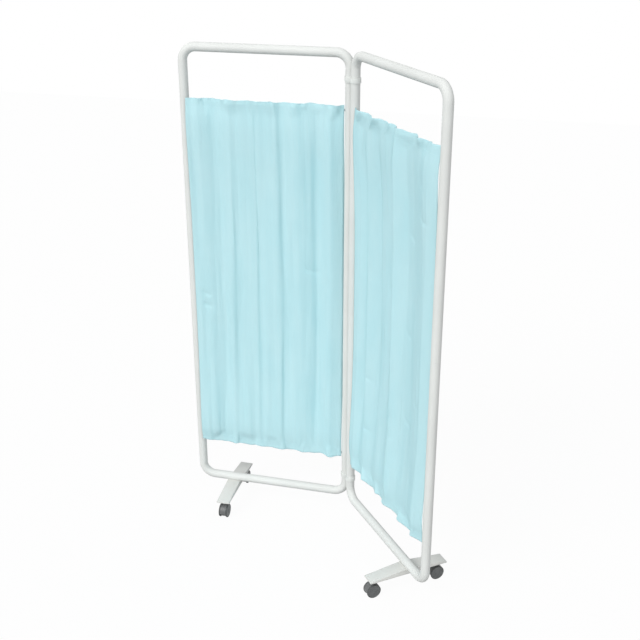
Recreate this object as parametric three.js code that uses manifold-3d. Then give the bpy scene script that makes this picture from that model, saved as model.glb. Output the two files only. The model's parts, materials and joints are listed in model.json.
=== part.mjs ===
// Ward privacy screen on wheels: two tube-framed curtain panels, hinged side by side on casters.
// Millimetres, Z up. X runs along panel A from its outer upright to the hinge, and panel B turns
// towards -Y from there. Inside each panel, z is zero at the centre of the bottom rail.
import * as THREE from 'three';
import { mergeVertices } from 'three/addons/utils/BufferGeometryUtils.js';
import Module from 'manifold-3d';

const wasm = await Module();
wasm.setup();

// Panel frame: round tube, centre-line sizes
const railSpacing = 1580;
const panelWidth = 550;
const tubeDiameter = 30;
const tubeWall = 1.2;
const bendRadius = 45;
const sleeveLength = 120;
const sleeveWall = 1.2;

// Gaps: one between pieces that touch, one where a piece turns on another
const seatGap = 0.3;
const turningGap = 0.3;
const cutOverrun = 2;

// Hinge between the panels
const foldTurn = 51.5;
const linkTurn = 47;
const linkInset = 78;
const linkHeight = 16;
const linkWall = 2.2;
const linkBridge = 1.2;
const collarHeight = 4;
const collarWall = 1.2;

// Curtains and the rods in their hems
const curtainTopGap = 162;
const curtainBottomGap = 150;
const curtainSideGap = 1;
const curtainThickness = 2.4;
const rodDiameter = 8;
const rodHemInset = 14;
const rodEntry = 4;
const hemWall = 2;
const foldDepthA = 14;
const foldDepthB = 17;
const foldWander = 7;

// Feet: pressed channels with a flat underside and a top that rises to the rail
const footInset = 122;
const footLength = 284;
const footWidth = 47;
const footUnderside = 31;
const footEndHeight = 5;
const footPeakDrop = 9;
const footWall = 2.5;
const footBoltSpacing = 26;
const boltDiameter = 6;
const boltHeadAcross = 10;
const boltHeadHeight = 4;
const boltNutHeight = 5;
const boltTipLength = 2;

// Casters: twin wheels either side of a hood
const casterInset = 23;
const stemDiameter = 8;
const stemTopCover = 2;
const bossDiameter = 18;
const bossDrop = 4;
const stemCollarDiameter = 15;
const stemCollarHeight = 3;
const neckDiameter = 18;
const neckBoreDepth = 8;
const wheelDiameter = 50;
const axleDrop = 39.5;
const trail = 6;
const hoodWidth = 21;
const hoodRadius = 24.6;
const hoodWall = 2.4;
const hoodSkirtDrop = 3;
const webWidth = 2.4;
const hubRadius = 8;
const axleDiameter = 6;
const axleLength = 26;
const drumRadius = 21.5;
const wheelInnerGap = 0.4;
const rimWidth = 5;
const rimRadius = 22.3;
const rimSideGap = 0.4;
const wheelDishDepth = 0.8;
const tyreSetback = 0.5;
const tyreChamfer = 0.5;

// Facets: how many sides stand in for each curve
const tubeSides = 12;
const bendSteps = 5;
const barSides = 8;
const smallSides = 12;
const hexSides = 6;
const wheelSides = 16;
const hoodSides = 12;
const linkSides = 16;

// How the cloth hangs. Each fold's top or hollow has a place, as a share of the curtain's width from
// the outer upright, and an offset, as a share of the fold depth, positive on the casters' front side.
const foldPlaceSharesA = [0, 0.06, 0.16, 0.23, 0.33, 0.41, 0.49, 0.58, 0.65, 0.73, 0.84, 0.93, 1];
const foldOffsetSharesA = [-0.2, 0.6, -0.9, 0.7, -0.45, 0.55, -0.4, 0.6, -0.9, 0.1, -1, 0.75, -0.3];
const foldPlaceSharesB = [0, 0.06, 0.13, 0.2, 0.28, 0.38, 0.515, 0.585, 0.625, 0.725, 0.81, 0.915, 1];
const foldOffsetSharesB = [0, -0.35, 0.53, -0.24, 0.47, -1, 0.47, -0.53, 0.24, -0.7, 0.53, -0.94, 0.2];
const spanShares = [0, 0.25, 0.75];
const rowShares = [0, 0.3, 0.7, 1];
const rowDepthShares = [0.95, 0.8, 0.85, 0.9];
const rowWanderShares = [0, 1, -0.6, 0];

const paint = { color: 0xe2e4e1, roughness: 0.45, metalness: 0.0 };
const footPaint = { color: 0xdfe1de, roughness: 0.45, metalness: 0.0 };
const linkPlastic = { color: 0xe0e2df, roughness: 0.5, metalness: 0.0 };
const zincSteel = { color: 0xb4b6b8, roughness: 0.35, metalness: 0.9 };
const cyanCloth = { color: 0xb9e6ea, roughness: 0.9, metalness: 0.0 };
const hoodPlastic = { color: 0x828482, roughness: 0.5, metalness: 0.0 };
const wheelPlastic = { color: 0x5c5e5d, roughness: 0.5, metalness: 0.0 };
const tyreRubber = { color: 0x454745, roughness: 0.8, metalness: 0.0 };

const tubeRadius = tubeDiameter / 2;
const tubeBore = tubeRadius - tubeWall;
const rodRadius = rodDiameter / 2;
const seamHeight = railSpacing / 2;
const fullTurn = Math.PI * 2;
const xAxis = new THREE.Vector3(1, 0, 0);
const yAxis = new THREE.Vector3(0, 1, 0);
const zAxis = new THREE.Vector3(0, 0, 1);

// Turns a closed three.js geometry into a solid that can be cut and joined
function toSolid(geometry) {
  const bare = geometry.clone();
  bare.deleteAttribute('normal');
  bare.deleteAttribute('uv');
  const merged = mergeVertices(bare);
  const corners = merged.index.array;
  const kept = [];
  for (let i = 0; i < corners.length; i += 3) {
    const [a, b, c] = [corners[i], corners[i + 1], corners[i + 2]];
    if (a !== b && b !== c && c !== a) kept.push(a, b, c);
  }
  return new wasm.Manifold(new wasm.Mesh({
    numProp: 3,
    vertProperties: new Float32Array(merged.attributes.position.array),
    triVerts: new Uint32Array(kept),
  }));
}

// Turns a cut solid back into a geometry
function toGeometry(solid) {
  const mesh = solid.getMesh();
  const geometry = new THREE.BufferGeometry();
  geometry.setAttribute('position', new THREE.BufferAttribute(new Float32Array(mesh.vertProperties), 3));
  geometry.setIndex(new THREE.BufferAttribute(new Uint32Array(mesh.triVerts), 1));
  return geometry;
}

function joinAll(solids) {
  return solids.reduce((whole, solid) => whole.add(solid));
}

function cutAll(solid, cutters) {
  return cutters.reduce((rest, cutter) => rest.subtract(cutter), solid);
}

// The corners of a regular polygon, with a flat side at the bottom
function circlePoints(radius, sides) {
  return Array.from({ length: sides }, (_, i) => {
    const angle = (i + 0.5) / sides * Math.PI * 2 - Math.PI / 2;
    return new THREE.Vector2(radius * Math.cos(angle), radius * Math.sin(angle));
  });
}

// A path that keeps one section at each of its points
class KnotPath extends THREE.Curve {
  constructor(points) {
    super();
    this.points = points;
  }

  getUtoTmapping(u) {
    return u;
  }

  getPoint(t, target = new THREE.Vector3()) {
    const last = this.points.length - 1;
    const place = Math.min(Math.max(t, 0), 1) * last;
    const index = Math.min(Math.floor(place), last - 1);
    return target.lerpVectors(this.points[index], this.points[index + 1], place - index);
  }
}

// A hollow tube along a path, open at both ends
function hollowTube(points, radius, bore, sides) {
  const section = new THREE.Shape(circlePoints(radius, sides));
  section.holes.push(new THREE.Path(circlePoints(bore, sides)));
  return new THREE.ExtrudeGeometry(section, {
    steps: points.length - 1,
    bevelEnabled: false,
    extrudePath: new KnotPath(points),
  });
}

// A round bar from one point along an axis
function bar(start, axis, length, radius, sides) {
  const geometry = new THREE.CylinderGeometry(radius, radius, length, sides);
  geometry.rotateY(Math.PI / sides);
  geometry.translate(0, length / 2, 0);
  geometry.applyQuaternion(new THREE.Quaternion().setFromUnitVectors(yAxis, axis));
  geometry.translate(start.x, start.y, start.z);
  return geometry;
}

// An outline drawn in Y and Z, extruded along X about the middle
function prism(outline, width) {
  const geometry = new THREE.ExtrudeGeometry(outline, {
    depth: width,
    bevelEnabled: false,
    curveSegments: hoodSides,
  });
  geometry.translate(0, 0, -width / 2);
  geometry.applyMatrix4(new THREE.Matrix4().makeBasis(yAxis, zAxis, xAxis));
  return geometry;
}

function mesh(name, geometry, finish) {
  const piece = new THREE.Mesh(geometry, new THREE.MeshStandardMaterial(finish));
  piece.name = name;
  return piece;
}

// The points of one half of a frame: up from the seam, round a bend, along the rail and back
function frameHalfPoints(railHeight) {
  const up = Math.sign(railHeight - seamHeight);
  const start = seamHeight + up * seatGap / 2;
  const points = [new THREE.Vector3(0, 0, start)];
  const bendZ = railHeight - up * bendRadius;
  for (let i = 0; i <= bendSteps; i += 1) {
    const angle = i / bendSteps * Math.PI / 2;
    const across = bendRadius * (1 - Math.cos(angle));
    points.push(new THREE.Vector3(across, 0, bendZ + up * bendRadius * Math.sin(angle)));
  }
  const mirrored = points.map((p) => new THREE.Vector3(panelWidth - p.x, 0, p.z)).reverse();
  return [...points, ...mirrored];
}

// One half of a frame, with the holes that take the rod's ends and the foot's bolts
function frameHalf(railHeight, rodHeight, holePlaces) {
  const tube = toSolid(hollowTube(frameHalfPoints(railHeight), tubeRadius, tubeBore, tubeSides));
  const rodHole = bar(new THREE.Vector3(0, 0, rodHeight), xAxis, panelWidth, rodRadius + seatGap, barSides);
  const boltHoles = holePlaces.map((x) => {
    const start = new THREE.Vector3(x, 0, railHeight - tubeRadius - cutOverrun);
    return toSolid(bar(start, zAxis, tubeRadius + cutOverrun, boltDiameter / 2 + seatGap, barSides));
  });
  return toGeometry(cutAll(tube, [toSolid(rodHole), ...boltHoles]));
}

// The inner sleeve that joins the two halves of a frame in one upright
function joiningSleeve(x) {
  const radius = tubeBore - seatGap;
  const ends = [-1, 1].map((end) => new THREE.Vector3(x, 0, seamHeight + end * sleeveLength / 2));
  return hollowTube(ends, radius, radius - sleeveWall, tubeSides);
}

// A curtain rod between the uprights
function curtainRod(height) {
  const end = tubeBore - rodEntry;
  return bar(new THREE.Vector3(end, 0, height), xAxis, panelWidth - 2 * end, rodRadius, barSides);
}

const curtainTop = railSpacing - curtainTopGap;
const curtainBottom = curtainBottomGap;
const topRodHeight = curtainTop - rodHemInset;
const bottomRodHeight = curtainBottom + rodHemInset;
const curtainEdge = tubeRadius + curtainSideGap;
const curtainWidth = panelWidth - 2 * curtainEdge;

// The line of the cloth seen from above: points rounded off at the top and the hollow of each fold
function foldLine(placeShares, offsetShares, depth) {
  const line = [];
  for (let i = 0; i + 1 < placeShares.length; i += 1) {
    for (const share of spanShares) {
      const eased = THREE.MathUtils.smoothstep(share, 0, 1);
      const across = THREE.MathUtils.lerp(placeShares[i], placeShares[i + 1], share);
      const offset = THREE.MathUtils.lerp(offsetShares[i], offsetShares[i + 1], eased);
      line.push([across * curtainWidth, offset * depth]);
    }
  }
  line.push([curtainWidth, offsetShares.at(-1) * depth]);
  return line;
}

// The folded sheet of cloth as a thin closed solid
function foldedSheet(line, frontSide) {
  const columns = line.length - 1;
  const points = [];
  for (const side of [-1, 1]) {
    for (let row = 0; row < rowShares.length; row += 1) {
      const height = curtainBottom + rowShares[row] * (curtainTop - curtainBottom);
      for (const [across, offset] of line) {
        const inward = Math.sin(across / curtainWidth * Math.PI);
        const x = curtainEdge + across + rowWanderShares[row] * foldWander * inward;
        const y = frontSide * offset * rowDepthShares[row] + side * curtainThickness / 2;
        points.push(x, y, height);
      }
    }
  }
  const perRow = columns + 1;
  const perSide = perRow * rowShares.length;
  const faces = [];
  const quad = (a, b, c, d) => faces.push(a, b, c, a, c, d);
  for (let row = 0; row + 1 < rowShares.length; row += 1) {
    for (let i = 0; i < columns; i += 1) {
      const a = row * perRow + i;
      quad(a, a + 1, a + 1 + perRow, a + perRow);
      const b = a + perSide;
      quad(b, b + perRow, b + 1 + perRow, b + 1);
    }
    const low = row * perRow;
    quad(low, low + perRow, low + perRow + perSide, low + perSide);
    const far = low + columns;
    quad(far, far + perSide, far + perRow + perSide, far + perRow);
  }
  const upper = (rowShares.length - 1) * perRow;
  for (let i = 0; i < columns; i += 1) {
    quad(i, i + perSide, i + 1 + perSide, i + 1);
    const a = upper + i;
    quad(a, a + 1, a + 1 + perSide, a + perSide);
  }
  const sheet = new THREE.BufferGeometry();
  sheet.setAttribute('position', new THREE.Float32BufferAttribute(points, 3));
  sheet.setIndex(faces);
  return sheet;
}

// A curtain: the folded sheet with a hem round each rod
function curtain(line, frontSide) {
  const heights = [topRodHeight, bottomRodHeight];
  const hems = heights.map((z) => {
    const start = new THREE.Vector3(curtainEdge, 0, z);
    return toSolid(bar(start, xAxis, curtainWidth, rodRadius + seatGap + hemWall, barSides));
  });
  const channels = heights.map((z) => {
    const start = new THREE.Vector3(curtainEdge - cutOverrun, 0, z);
    return toSolid(bar(start, xAxis, curtainWidth + 2 * cutOverrun, rodRadius + seatGap, barSides));
  });
  return toGeometry(cutAll(joinAll([toSolid(foldedSheet(line, frontSide)), ...hems]), channels));
}

const cradleRadius = tubeRadius + seatGap;
const cradleUnder = cradleRadius + footWall;
const footEndTop = footEndHeight - footUnderside;
const footSlope = (-footPeakDrop - footEndTop) / (footLength / 2);
const stemTop = footEndTop + footSlope * casterInset - stemTopCover;
const stemPlaces = [-1, 1].map((end) => end * (footLength / 2 - casterInset));
const boltPlaces = [-1, 1].map((side) => footInset + side * footBoltSpacing / 2);

// A foot's side view, drawn smaller for its hollow
function footOutline(halfLength, endTop, peakTop, underside) {
  const outline = new THREE.Shape();
  outline.moveTo(-halfLength, underside);
  outline.lineTo(halfLength, underside);
  outline.lineTo(halfLength, endTop);
  outline.lineTo(0, peakTop);
  outline.lineTo(-halfLength, endTop);
  outline.closePath();
  return outline;
}

// A foot: a channel hollow from below, with a cradle for the rail and a boss for each stem
function foot() {
  const underside = -footUnderside;
  const half = footLength / 2;
  const outer = toSolid(prism(footOutline(half, footEndTop, -footPeakDrop, underside), footWidth));
  const hollowHalf = half - casterInset + bossDiameter / 2 + footWall;
  const hollowEnd = footEndTop + footSlope * (half - hollowHalf) - footWall;
  const hollowPeak = -footPeakDrop - footWall;
  const hollowOutline = footOutline(hollowHalf, hollowEnd, hollowPeak, underside - cutOverrun);
  const cradleLength = footWidth + 2 * cutOverrun;
  const cradleStart = new THREE.Vector3(-cradleLength / 2, 0, 0);
  const cradleShell = toSolid(bar(cradleStart, xAxis, cradleLength, cradleUnder, tubeSides));
  const bossColumns = stemPlaces.map((y) => {
    const start = new THREE.Vector3(0, y, underside - bossDrop);
    return toSolid(bar(start, zAxis, footUnderside, bossDiameter / 2, smallSides));
  });
  const inside = toSolid(prism(hollowOutline, footWidth - 2 * footWall));
  const hollow = cutAll(inside, [cradleShell, ...bossColumns]);
  const bosses = stemPlaces.map((y) => {
    const start = new THREE.Vector3(0, y, underside - bossDrop);
    return toSolid(bar(start, zAxis, bossDrop + footEndHeight / 2, bossDiameter / 2, smallSides));
  });
  const stemHoles = stemPlaces.map((y) => {
    const start = new THREE.Vector3(0, y, underside - bossDrop - cutOverrun);
    return toSolid(bar(start, zAxis, stemTop + seatGap - start.z, stemDiameter / 2 + seatGap, barSides));
  });
  const boltHoles = boltPlaces.map((x) => {
    const start = new THREE.Vector3(x - footInset, 0, underside);
    return toSolid(bar(start, zAxis, footUnderside, boltDiameter / 2 + seatGap, barSides));
  });
  const cradle = toSolid(bar(cradleStart, xAxis, cradleLength, cradleRadius, tubeSides));
  const body = joinAll([outer.subtract(hollow), ...bosses]);
  return toGeometry(cutAll(body, [cradle, ...stemHoles, ...boltHoles]));
}

// A bolt that holds a foot to the rail, its head below the cradle
function footBolt(x) {
  const headStart = -cradleUnder - seatGap - boltHeadHeight;
  const head = bar(new THREE.Vector3(x, 0, headStart), zAxis, boltHeadHeight, boltHeadAcross / 2, hexSides);
  const shankStart = headStart + boltHeadHeight / 2;
  const shankEnd = -tubeBore + seatGap + boltNutHeight + boltTipLength;
  const length = shankEnd - shankStart;
  const shank = bar(new THREE.Vector3(x, 0, shankStart), zAxis, length, boltDiameter / 2, barSides);
  return toGeometry(toSolid(head).add(toSolid(shank)));
}

// A nut inside the rail, rounded to the rail's bore below
function footNut(x) {
  const seat = bar(new THREE.Vector3(0, 0, 0), xAxis, panelWidth, tubeBore - seatGap, tubeSides);
  const block = bar(new THREE.Vector3(x, 0, -tubeBore), zAxis, boltNutHeight, boltHeadAcross / 2, hexSides);
  const holeStart = new THREE.Vector3(x, 0, -tubeRadius);
  const hole = bar(holeStart, zAxis, tubeRadius, boltDiameter / 2 + seatGap, barSides);
  return toGeometry(toSolid(block).intersect(toSolid(seat)).subtract(toSolid(hole)));
}

// A hinge link: two rings in one, round the hinge uprights of both panels
const linkBore = tubeRadius / Math.cos(Math.PI / linkSides) + turningGap;
const hingeSpacing = 2 * linkBore + linkBridge;

function hingeLink(height) {
  const outline = new THREE.Shape();
  const ring = linkBore + linkWall;
  const waist = Math.acos(hingeSpacing / 2 / ring);
  outline.absarc(0, 0, ring, waist, -waist, false);
  outline.absarc(hingeSpacing, 0, ring, Math.PI + waist, Math.PI - waist, false);
  outline.closePath();
  for (const x of [0, hingeSpacing]) {
    const hole = new THREE.Path();
    hole.absarc(x, 0, linkBore, 0, Math.PI * 2, true);
    outline.holes.push(hole);
  }
  const geometry = new THREE.ExtrudeGeometry(outline, {
    depth: linkHeight,
    bevelEnabled: false,
    curveSegments: linkSides / 2,
  });
  geometry.translate(0, 0, height - linkHeight / 2);
  return geometry;
}

// The stop collar under a link, on panel A's hinge upright
function linkCollar(height) {
  const bore = tubeRadius + seatGap;
  const top = height - linkHeight / 2 - seatGap;
  const ends = [top - collarHeight, top].map((z) => new THREE.Vector3(panelWidth, 0, z));
  return hollowTube(ends, bore + collarWall, bore, tubeSides);
}

// Half a disc with a skirt, seen along the axle
function hoodOutline(radius, skirtDrop) {
  const outline = new THREE.Shape();
  const reach = Math.sqrt(radius * radius - skirtDrop * skirtDrop);
  const start = -Math.atan2(skirtDrop, reach);
  outline.absarc(0, 0, radius, start, Math.PI - start, false);
  outline.closePath();
  return outline;
}

const hoodTopZ = -bossDrop - seatGap - stemCollarHeight - turningGap;
const axleInCaster = new THREE.Vector3(0, -trail, -axleDrop);

// A caster's hood: the cover over both wheels, the web between them and the neck
function casterHood() {
  const place = (solid) => solid.translate([axleInCaster.x, axleInCaster.y, axleInCaster.z]);
  const cover = place(toSolid(prism(hoodOutline(hoodRadius, hoodSkirtDrop), hoodWidth)));
  const neckLength = hoodTopZ - axleInCaster.z;
  const neckStart = new THREE.Vector3(0, 0, axleInCaster.z);
  const neck = toSolid(bar(neckStart, zAxis, neckLength, neckDiameter / 2, smallSides));
  const sideDepth = (hoodWidth - webWidth) / 2;
  const roomOutline = hoodOutline(hoodRadius - hoodWall, hoodRadius / 2);
  const wheelRoom = toSolid(prism(roomOutline, sideDepth + cutOverrun));
  const rooms = [-1, 1].map((side) => {
    const shift = side * (webWidth + sideDepth + cutOverrun) / 2;
    return place(wheelRoom.translate([shift, 0, 0]));
  });
  const hubStart = axleInCaster.clone().addScaledVector(xAxis, -webWidth / 2);
  const hub = toSolid(bar(hubStart, xAxis, webWidth, hubRadius, smallSides));
  const boreStart = new THREE.Vector3(0, 0, hoodTopZ - neckBoreDepth);
  const boreLength = neckBoreDepth + cutOverrun;
  const bore = toSolid(bar(boreStart, zAxis, boreLength, stemDiameter / 2 + turningGap, barSides));
  const axleHoleStart = axleInCaster.clone().addScaledVector(xAxis, -hoodWidth);
  const axleHole = toSolid(bar(axleHoleStart, xAxis, 2 * hoodWidth, axleDiameter / 2 + seatGap, barSides));
  return toGeometry(cutAll(cutAll(cover.add(neck), rooms).add(hub), [bore, axleHole]));
}

// The stem that a caster swivels on, with the collar it bears against
function casterStem() {
  const top = stemTop + footUnderside;
  const low = hoodTopZ - neckBoreDepth + seatGap;
  const shank = bar(new THREE.Vector3(0, 0, low), zAxis, top - low, stemDiameter / 2, barSides);
  const collarStart = new THREE.Vector3(0, 0, hoodTopZ + turningGap);
  const collar = bar(collarStart, zAxis, stemCollarHeight, stemCollarDiameter / 2, smallSides);
  return toGeometry(toSolid(shank).add(toSolid(collar)));
}

function casterAxle() {
  return bar(new THREE.Vector3(-axleLength / 2, 0, 0), xAxis, axleLength, axleDiameter / 2, barSides);
}

// Spins a profile of radius and distance along the axle, outwards to one side
function turned(profile, side) {
  const points = profile.map(([radius, out]) => new THREE.Vector2(radius, out));
  const geometry = new THREE.LatheGeometry(points, wheelSides);
  geometry.rotateY(Math.PI / wheelSides);
  geometry.rotateZ(-side * Math.PI / 2);
  return geometry;
}

const wheelInner = webWidth / 2 + wheelInnerGap;
const rimInner = hoodWidth / 2 + rimSideGap;
const rimOuter = rimInner + rimWidth;

// A wheel: the drum inside the hood and the wider rim outside it
function casterWheel(side) {
  const bore = axleDiameter / 2 + turningGap;
  const boreEnd = axleLength / 2 + seatGap;
  return turned([
    [0, boreEnd],
    [bore, boreEnd],
    [bore, wheelInner],
    [drumRadius, wheelInner],
    [drumRadius, rimInner],
    [rimRadius, rimInner],
    [rimRadius, rimOuter - wheelDishDepth],
    [rimRadius - wheelDishDepth, rimOuter],
    [0, rimOuter - wheelDishDepth / 2],
  ], side);
}

// The tyre on a wheel's rim
function casterTyre(side) {
  const inner = rimRadius + seatGap;
  const outer = wheelDiameter / 2;
  const near = rimInner;
  const far = rimOuter - tyreSetback;
  return turned([
    [inner, near],
    [outer, near],
    [outer, far - tyreChamfer],
    [outer - tyreChamfer, far],
    [inner, far],
    [inner, near],
  ], side);
}

// A whole caster, its swivel axis at x and y zero and the foot's underside at z zero
function caster(label) {
  const group = new THREE.Group();
  group.add(mesh(`${label}_stem`, casterStem(), zincSteel));
  group.add(mesh(`${label}_hood`, casterHood(), hoodPlastic));
  const rolling = new THREE.Group();
  rolling.position.copy(axleInCaster);
  rolling.add(mesh(`${label}_axle`, casterAxle(), zincSteel));
  for (const [name, side] of [['left', -1], ['right', 1]]) {
    rolling.add(mesh(`${label}_${name}_wheel`, casterWheel(side), wheelPlastic));
    rolling.add(mesh(`${label}_${name}_tyre`, casterTyre(side), tyreRubber));
  }
  group.add(rolling);
  return group;
}

// A panel: x from its outer upright to its hinge upright. The casters trail towards one side,
// -1 for -y and 1 for +y, and that side's caster is called the front one.
function panel(letter, line, trailSide) {
  const group = new THREE.Group();
  group.add(mesh(`frame_${letter}_upper`, frameHalf(railSpacing, topRodHeight, []), paint));
  group.add(mesh(`frame_${letter}_lower`, frameHalf(0, bottomRodHeight, boltPlaces), paint));
  group.add(mesh(`frame_${letter}_outer_sleeve`, joiningSleeve(0), zincSteel));
  group.add(mesh(`frame_${letter}_hinge_sleeve`, joiningSleeve(panelWidth), zincSteel));
  group.add(mesh(`rod_${letter}_top`, curtainRod(topRodHeight), zincSteel));
  group.add(mesh(`rod_${letter}_bottom`, curtainRod(bottomRodHeight), zincSteel));
  group.add(mesh(`curtain_${letter}`, curtain(line, trailSide), cyanCloth));
  const footMesh = mesh(`foot_${letter}`, foot(), footPaint);
  footMesh.position.x = footInset;
  group.add(footMesh);
  boltPlaces.forEach((x, i) => {
    group.add(mesh(`foot_${letter}_bolt_${i + 1}`, footBolt(x), zincSteel));
    group.add(mesh(`foot_${letter}_nut_${i + 1}`, footNut(x), zincSteel));
  });
  for (const y of stemPlaces) {
    const end = Math.sign(y) === trailSide ? 'front' : 'back';
    const wheels = caster(`caster_${letter}_${end}`);
    wheels.position.set(footInset, y, -footUnderside);
    wheels.rotation.z = trailSide < 0 ? 0 : Math.PI;
    group.add(wheels);
  }
  return group;
}

const panelA = panel('a', foldLine(foldPlaceSharesA, foldOffsetSharesA, foldDepthA), -1);

const links = new THREE.Group();
links.position.x = panelWidth;
links.rotation.z = -THREE.MathUtils.degToRad(linkTurn);
const collars = new THREE.Group();
for (const [place, height] of [['bottom', linkInset], ['top', railSpacing - linkInset]]) {
  links.add(mesh(`hinge_link_${place}`, hingeLink(height), linkPlastic));
  collars.add(mesh(`hinge_collar_${place}`, linkCollar(height), linkPlastic));
}

// Panel B runs back from its outer upright to the hinge, so it is turned past the fold
const panelB = panel('b', foldLine(foldPlaceSharesB, foldOffsetSharesB, foldDepthB), 1);
const fold = -THREE.MathUtils.degToRad(foldTurn);
const linkDirection = xAxis.clone().applyAxisAngle(zAxis, links.rotation.z);
const panelDirection = xAxis.clone().applyAxisAngle(zAxis, fold);
panelB.position.copy(links.position).addScaledVector(linkDirection, hingeSpacing);
panelB.position.addScaledVector(panelDirection, panelWidth);
panelB.rotation.z = fold + Math.PI;

const screen = new THREE.Group();
screen.add(panelA, collars, links, panelB);

// The origin is on the floor, under the middle of the whole screen
const box = new THREE.Box3().setFromObject(screen, true);
const middle = box.getCenter(new THREE.Vector3());
screen.position.set(-middle.x, -middle.y, -box.min.z);

const part = new THREE.Group();
part.add(screen);

export default part;
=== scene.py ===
# Ward privacy screen on wheels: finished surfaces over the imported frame. Metres, Z up.
import json
import math

import bmesh
import bpy
from mathutils import Matrix, Vector, noise


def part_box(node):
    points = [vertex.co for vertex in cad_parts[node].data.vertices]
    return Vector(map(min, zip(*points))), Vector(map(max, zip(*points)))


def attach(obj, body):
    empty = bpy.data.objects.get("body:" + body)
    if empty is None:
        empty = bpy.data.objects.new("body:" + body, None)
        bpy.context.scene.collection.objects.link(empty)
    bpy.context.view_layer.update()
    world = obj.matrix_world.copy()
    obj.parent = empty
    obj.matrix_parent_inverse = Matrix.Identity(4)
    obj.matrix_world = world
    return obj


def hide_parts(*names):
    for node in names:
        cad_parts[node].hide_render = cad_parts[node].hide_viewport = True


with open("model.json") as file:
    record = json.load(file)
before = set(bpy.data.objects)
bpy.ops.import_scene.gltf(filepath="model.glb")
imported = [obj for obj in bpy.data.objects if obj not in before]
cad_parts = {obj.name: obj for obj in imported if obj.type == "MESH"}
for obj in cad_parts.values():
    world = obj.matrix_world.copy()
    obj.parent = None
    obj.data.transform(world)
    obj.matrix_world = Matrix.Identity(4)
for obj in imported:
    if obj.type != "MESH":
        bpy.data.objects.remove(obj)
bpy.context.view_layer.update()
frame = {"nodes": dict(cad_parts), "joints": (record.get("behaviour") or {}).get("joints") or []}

UP = Vector((0, 0, 1))

# Sizes of the frame and its curtains
RAIL_SPACING = 1.58
TUBE_RADIUS = 0.015
BEND_RADIUS = 0.045
SEAM_GAP = 0.0003
ROD_HEIGHTS = (0.164, 1.404)
ROD_RADIUS = 0.004

# Curtains, seen from above. A fold line is a list of corners, from the outer upright to the hinge:
# a place as a share of the panel's width, and an offset in fold depths towards the front casters.
# The cloth has one fold line at each hem and one in between, where the folds hang free. "low" and
# "high" are the heights of its cut edges, "rounding" is how far each fold is rounded off, and
# "corner_lift" is how far the lower corner at the outer upright is drawn up.
FOLD_DEPTH = 0.010
CURTAINS = {
    "a": {
        "low": 0.153,
        "high": 1.4205,
        "rounding": 0.011,
        "corner_lift": 0.010,
        "bottom": [
            (0.018, 0.9), (0.047, 0.5), (0.091, 0.3), (0.131, -0.8), (0.196, -0.9), (0.244, 0.8),
            (0.296, -0.4), (0.355, -0.7), (0.413, 0.8), (0.455, -0.1), (0.516, -0.5), (0.575, 1.1),
            (0.607, -0.7), (0.645, -0.9), (0.695, 0.2), (0.742, 0.3), (0.787, -0.8), (0.824, -1.0),
            (0.856, -0.1), (0.898, 1.5), (0.971, -0.8)],
        "middle": [
            (0.018, 1.2), (0.062, 1.0), (0.122, 1.1), (0.170, 0.0), (0.202, -0.2), (0.262, 0.8),
            (0.300, 0.4), (0.355, 0.4), (0.427, 0.5), (0.439, 0.1), (0.510, 0.3), (0.572, 0.8),
            (0.594, -0.3), (0.625, 0.0), (0.660, 0.1), (0.712, 0.2), (0.765, -0.7), (0.805, -1.8),
            (0.838, -0.5), (0.886, 0.6), (0.971, -1.1)],
        "top": [
            (0.018, 0.9), (0.055, 0.5), (0.104, 0.9), (0.149, -0.4), (0.193, -0.9), (0.244, 1.0),
            (0.305, 1.4), (0.360, 0.8), (0.418, 0.9), (0.458, 0.7), (0.513, 1.0), (0.556, 1.6),
            (0.600, -0.3), (0.640, 0.1), (0.691, 0.9), (0.745, 0.2), (0.782, -0.8), (0.811, -1.0),
            (0.862, 0.2), (0.927, 1.1), (0.971, -0.6)],
    },
    "b": {
        "low": 0.149,
        "high": 1.4215,
        "rounding": 0.006,
        "corner_lift": 0.0,
        "bottom": [
            (0.021, -0.6), (0.124, 1.2), (0.134, 0.2), (0.160, 0.1), (0.229, 0.6), (0.291, 1.0),
            (0.340, -1.1), (0.458, 1.1), (0.498, 0.7), (0.544, -0.9), (0.591, 0.5), (0.650, -1.0),
            (0.771, 1.0), (0.830, -1.1), (0.922, 0.6), (0.9725, -0.8)],
        "middle": [
            (0.021, -0.1), (0.098, 1.3), (0.143, 1.0), (0.188, 0.3), (0.233, -0.5), (0.278, -1.2),
            (0.358, -1.4), (0.445, 1.4), (0.526, -0.8), (0.582, -0.7), (0.640, -0.8), (0.690, -2.1),
            (0.796, 0.0), (0.858, -1.7), (0.922, -0.2), (0.9725, -0.1)],
        "top": [
            (0.021, -0.6), (0.085, 1.2), (0.100, 0.2), (0.145, -0.2), (0.189, 0.6), (0.225, 1.0),
            (0.265, -1.0), (0.445, 1.2), (0.469, 0.6), (0.505, -0.9), (0.551, 0.6), (0.625, -1.0),
            (0.720, 1.3), (0.805, -1.0), (0.891, 1.6), (0.9725, -0.6)],
    },
}
# Where the cloth has buckled: along and up its panel, how far it runs, and how far it drops
CREASES = {
    "a": [(0.036, 0.745, 0.034, 0.010), (0.040, 0.700, 0.030, 0.008), (0.405, 0.860, 0.050, 0.016)],
    "b": [
        (0.286, 1.121, -0.030, 0.016), (0.283, 1.072, -0.045, 0.016), (0.186, 1.118, -0.043, 0.014),
        (0.087, 1.197, -0.046, 0.008), (0.100, 1.293, -0.034, 0.012), (0.094, 0.605, -0.026, 0.005),
        (0.291, 0.661, -0.055, 0.016), (0.279, 0.490, -0.040, 0.008), (0.285, 0.420, -0.055, 0.006),
        (0.436, 0.538, -0.030, 0.006), (0.442, 0.350, -0.045, 0.008), (0.180, 0.506, -0.045, 0.010),
        (0.300, 0.900, -0.040, 0.010), (0.190, 0.800, -0.030, 0.008)],
}
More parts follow.
